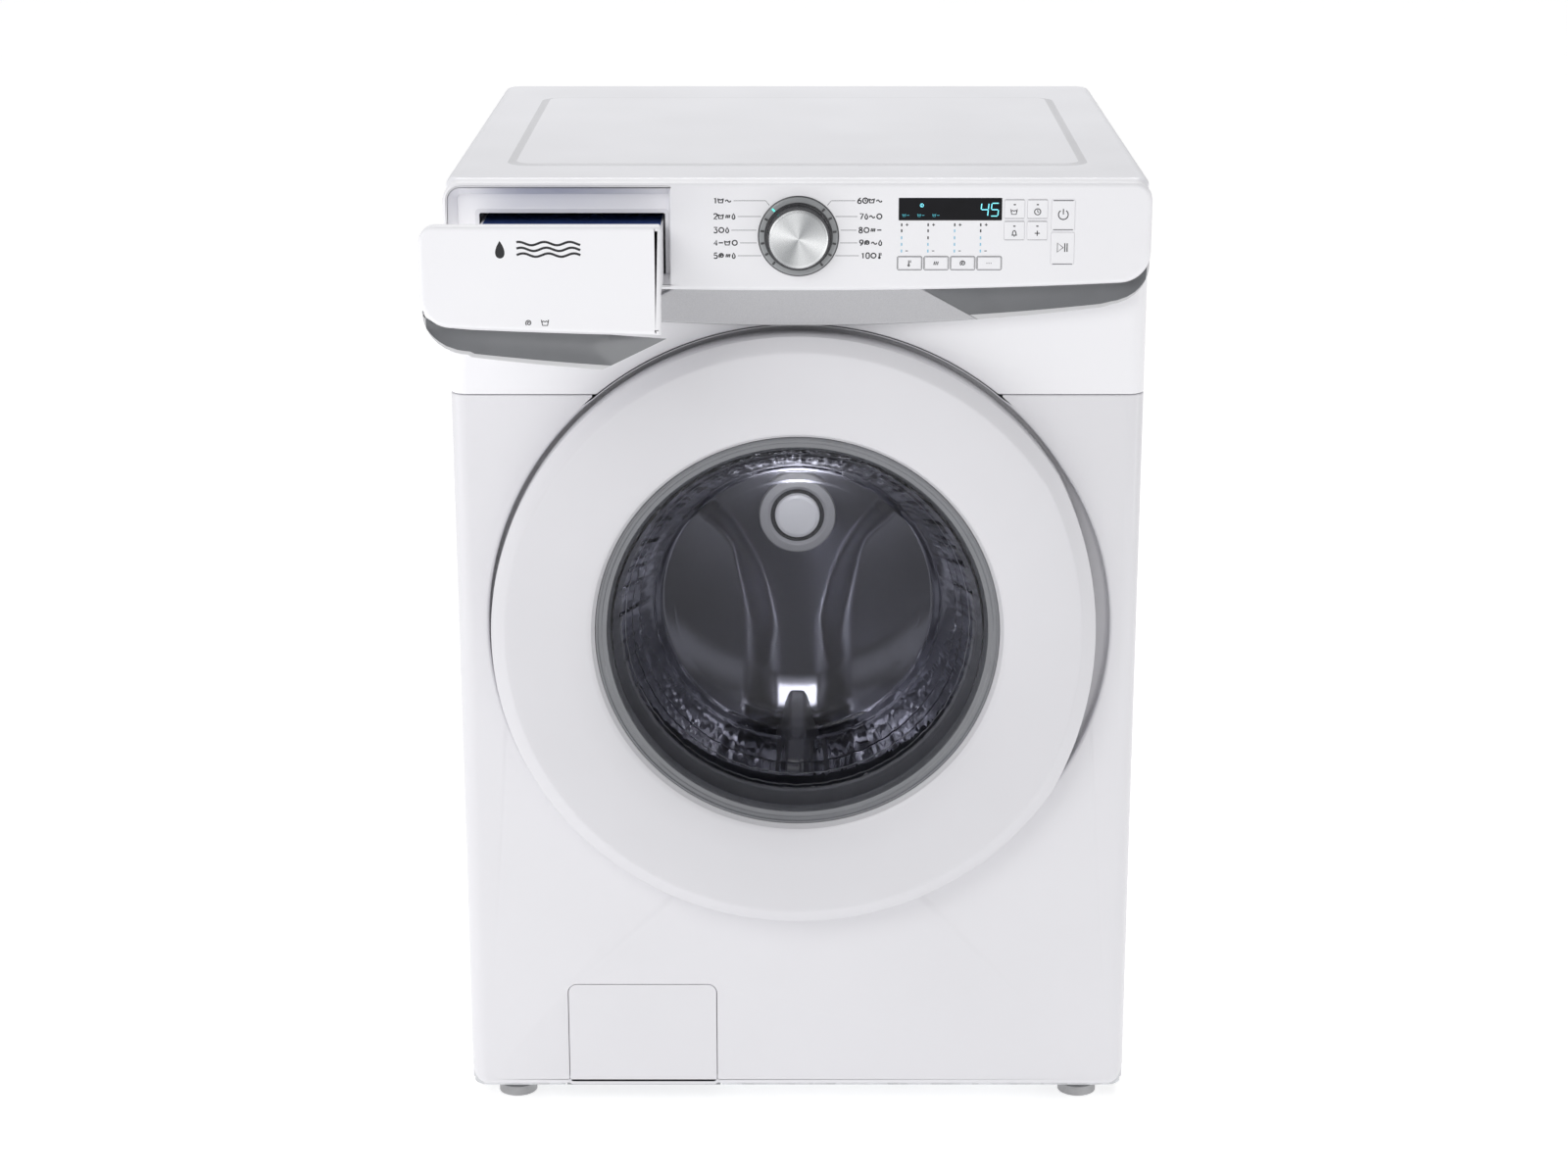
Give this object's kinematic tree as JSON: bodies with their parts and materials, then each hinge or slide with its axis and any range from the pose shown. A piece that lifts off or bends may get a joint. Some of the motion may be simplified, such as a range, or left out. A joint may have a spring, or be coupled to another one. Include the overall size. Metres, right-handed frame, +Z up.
{
  "type": "front load washing machine",
  "caption": "Freestanding front-loading washer with a round glass door, a sliding detergent drawer, a drum in a sprung tub, a knob and keys, and levelling feet.",
  "frame": {"origin": "middle of the four feet, on the floor", "axes": "+X to the user's right, -Y out of the front, +Z up"},
  "size_m": [0.686, 1.005, 0.984],
  "materials": {
    "white_enamel": "smooth white enamel on steel",
    "galvanised": "zinc-coated steel sheet",
    "white_gloss": "white plastic, soft gloss",
    "grey_trim": "silver-grey painted plastic",
    "dark_grip": "dark grey plastic",
    "display_black": "black window over a display",
    "board_green": "circuit board",
    "pale_plastic": "pale moulded plastic",
    "valve_white": "white moulded valve body",
    "hose_rubber": "black ribbed rubber",
    "zinc": "zinc-plated steel",
    "lock_black": "black moulded plastic",
    "gasket_rubber": "grey rubber",
    "foot_rubber": "black rubber pad on a zinc stud",
    "tub_plastic": "filled grey polypropylene",
    "ballast": "cast counterweight",
    "bearing_steel": "ground bearing steel",
    "stator_copper": "wound stator",
    "stainless": "stainless steel sheet",
    "lifter_plastic": "pale grey plastic",
    "spider_cast": "cast aluminium",
    "rotor_steel": "pressed steel cup",
    "door_white": "white plastic, soft gloss",
    "window_glass": "clear moulded glass",
    "softener_blue": "blue moulded plastic",
    "knob_metal": "spun aluminium face",
    "pump_grey": "grey moulded plastic"
  },
  "bodies": {
    "cabinet": {"base_frame": "galvanised", "left_side_panel": "white_enamel", "right_side_panel": "white_enamel", "rear_panel": "galvanised", "rear_access_cover": "galvanised", "front_panel": "white_enamel", "upper_front_panel": "white_enamel", "top_cover": "white_enamel", "control_panel": "white_gloss", "silver_trim": "grey_trim", "display_window": "display_black", "control_board": "board_green", "dispenser_housing": "pale_plastic", "inlet_valves": "valve_white", "tub_hoses": "hose_rubber", "cabinet_screws": "zinc", "door_hinge_bracket": "zinc", "door_lock": "lock_black", "filter_pocket": "pale_plastic", "drain_pump": "pump_grey", "damper_cylinders": "zinc", "suspension_springs": "zinc", "door_gasket": "gasket_rubber"},
    "tub": {"tub_front": "tub_plastic", "tub_rear": "tub_plastic", "counterweights": "ballast", "tub_bolts": "zinc", "drum_bearings": "bearing_steel", "motor_stator": "stator_copper", "damper_rods": "zinc"},
    "drum": {"drum_shell": "stainless", "drum_lifters": "lifter_plastic", "drum_spider": "spider_cast", "motor_rotor": "rotor_steel"},
    "door": {"door_frame": "door_white", "door_inner_frame": "pale_plastic", "door_glass": "window_glass", "door_hinge_arm": "zinc", "door_latch_hook": "zinc"},
    "drawer": {"drawer_front": "white_gloss", "drawer_grip": "dark_grip", "drawer_tray": "pale_plastic", "softener_cover": "softener_blue"},
    "knob": {"programme_knob": "knob_metal"},
    "filter_flap": {"filter_flap": "white_gloss"},
    "filter_cap": {"filter_cap": "lock_black"},
    "front_left_foot": {"front_left_foot": "foot_rubber"},
    "front_right_foot": {"front_right_foot": "foot_rubber"},
    "rear_left_foot": {"rear_left_foot": "foot_rubber"},
    "rear_right_foot": {"rear_right_foot": "foot_rubber"},
    "temperature_key": {"temperature_key": "white_gloss"},
    "rinse_key": {"rinse_key": "white_gloss"},
    "spin_key": {"spin_key": "white_gloss"},
    "soil_key": {"soil_key": "white_gloss"},
    "pre_soak_key": {"pre_soak_key": "white_gloss"},
    "delay_key": {"delay_key": "white_gloss"},
    "alarm_key": {"alarm_key": "white_gloss"},
    "care_key": {"care_key": "white_gloss"},
    "power_key": {"power_key": "white_gloss"},
    "start_key": {"start_key": "white_gloss"}
  },
  "joints": [
    {"name": "tub_float", "type": "slide", "parent": "cabinet", "child": "tub", "axis": [0, 0, 1], "range_m": [-0.012, 0.012], "stiffness_N_per_m": 20000, "springref_m": 0.0205, "deforming": ["suspension_springs", "door_gasket", "tub_hoses"]},
    {"name": "drum_spin", "type": "hinge", "parent": "tub", "child": "drum", "pos_m": [0, 0, 0.528], "axis": [0, 1, 0], "continuous": true},
    {"name": "door_swing", "type": "hinge", "parent": "cabinet", "child": "door", "pos_m": [-0.29, -0.364, 0.528], "axis": [0, 0, -1], "range_deg": [0, 110]},
    {"name": "drawer_slide", "type": "slide", "parent": "cabinet", "child": "drawer", "axis": [0, -1, 0], "range_m": [-0.225, 0]},
    {"name": "knob_turn", "type": "hinge", "parent": "cabinet", "child": "knob", "pos_m": [0.001, -0.37, 0.931], "axis": [0, 1, 0], "continuous": true},
    {"name": "filter_flap_swing", "type": "hinge", "parent": "cabinet", "child": "filter_flap", "pos_m": [-0.16175, -0.346, 0.033], "axis": [1, 0, 0], "range_deg": [0, 90]},
    {"name": "filter_cap_turn", "type": "hinge", "parent": "cabinet", "child": "filter_cap", "pos_m": [-0.16175, -0.32, 0.084], "axis": [0, -1, 0], "range_deg": [0, 270]},
    {"name": "temperature_press", "type": "slide", "parent": "cabinet", "child": "temperature_key", "axis": [0, 1, 0], "range_m": [0, 0.0008], "stiffness_N_per_m": 1500, "springref_m": -0.001},
    {"name": "rinse_press", "type": "slide", "parent": "cabinet", "child": "rinse_key", "axis": [0, 1, 0], "range_m": [0, 0.0008], "stiffness_N_per_m": 1500, "springref_m": -0.001},
    {"name": "spin_press", "type": "slide", "parent": "cabinet", "child": "spin_key", "axis": [0, 1, 0], "range_m": [0, 0.0008], "stiffness_N_per_m": 1500, "springref_m": -0.001},
    {"name": "soil_press", "type": "slide", "parent": "cabinet", "child": "soil_key", "axis": [0, 1, 0], "range_m": [0, 0.0008], "stiffness_N_per_m": 1500, "springref_m": -0.001},
    {"name": "pre_soak_press", "type": "slide", "parent": "cabinet", "child": "pre_soak_key", "axis": [0, 1, 0], "range_m": [0, 0.0008], "stiffness_N_per_m": 1500, "springref_m": -0.001},
    {"name": "delay_press", "type": "slide", "parent": "cabinet", "child": "delay_key", "axis": [0, 1, 0], "range_m": [0, 0.0008], "stiffness_N_per_m": 1500, "springref_m": -0.001},
    {"name": "alarm_press", "type": "slide", "parent": "cabinet", "child": "alarm_key", "axis": [0, 1, 0], "range_m": [0, 0.0008], "stiffness_N_per_m": 1500, "springref_m": -0.001},
    {"name": "care_press", "type": "slide", "parent": "cabinet", "child": "care_key", "axis": [0, 1, 0], "range_m": [0, 0.0008], "stiffness_N_per_m": 1500, "springref_m": -0.001},
    {"name": "power_press", "type": "slide", "parent": "cabinet", "child": "power_key", "axis": [0, 1, 0], "range_m": [0, 0.0008], "stiffness_N_per_m": 1500, "springref_m": -0.001},
    {"name": "start_press", "type": "slide", "parent": "cabinet", "child": "start_key", "axis": [0, 1, 0], "range_m": [0, 0.0008], "stiffness_N_per_m": 1500, "springref_m": -0.001},
    {"name": "front_left_foot_level", "type": "slide", "parent": "cabinet", "child": "front_left_foot", "axis": [0, 0, -1], "range_m": [0, 0.012]},
    {"name": "front_right_foot_level", "type": "slide", "parent": "cabinet", "child": "front_right_foot", "axis": [0, 0, -1], "range_m": [0, 0.012]},
    {"name": "rear_left_foot_level", "type": "slide", "parent": "cabinet", "child": "rear_left_foot", "axis": [0, 0, -1], "range_m": [0, 0.012]},
    {"name": "rear_right_foot_level", "type": "slide", "parent": "cabinet", "child": "rear_right_foot", "axis": [0, 0, -1], "range_m": [0, 0.012]}
  ]
}
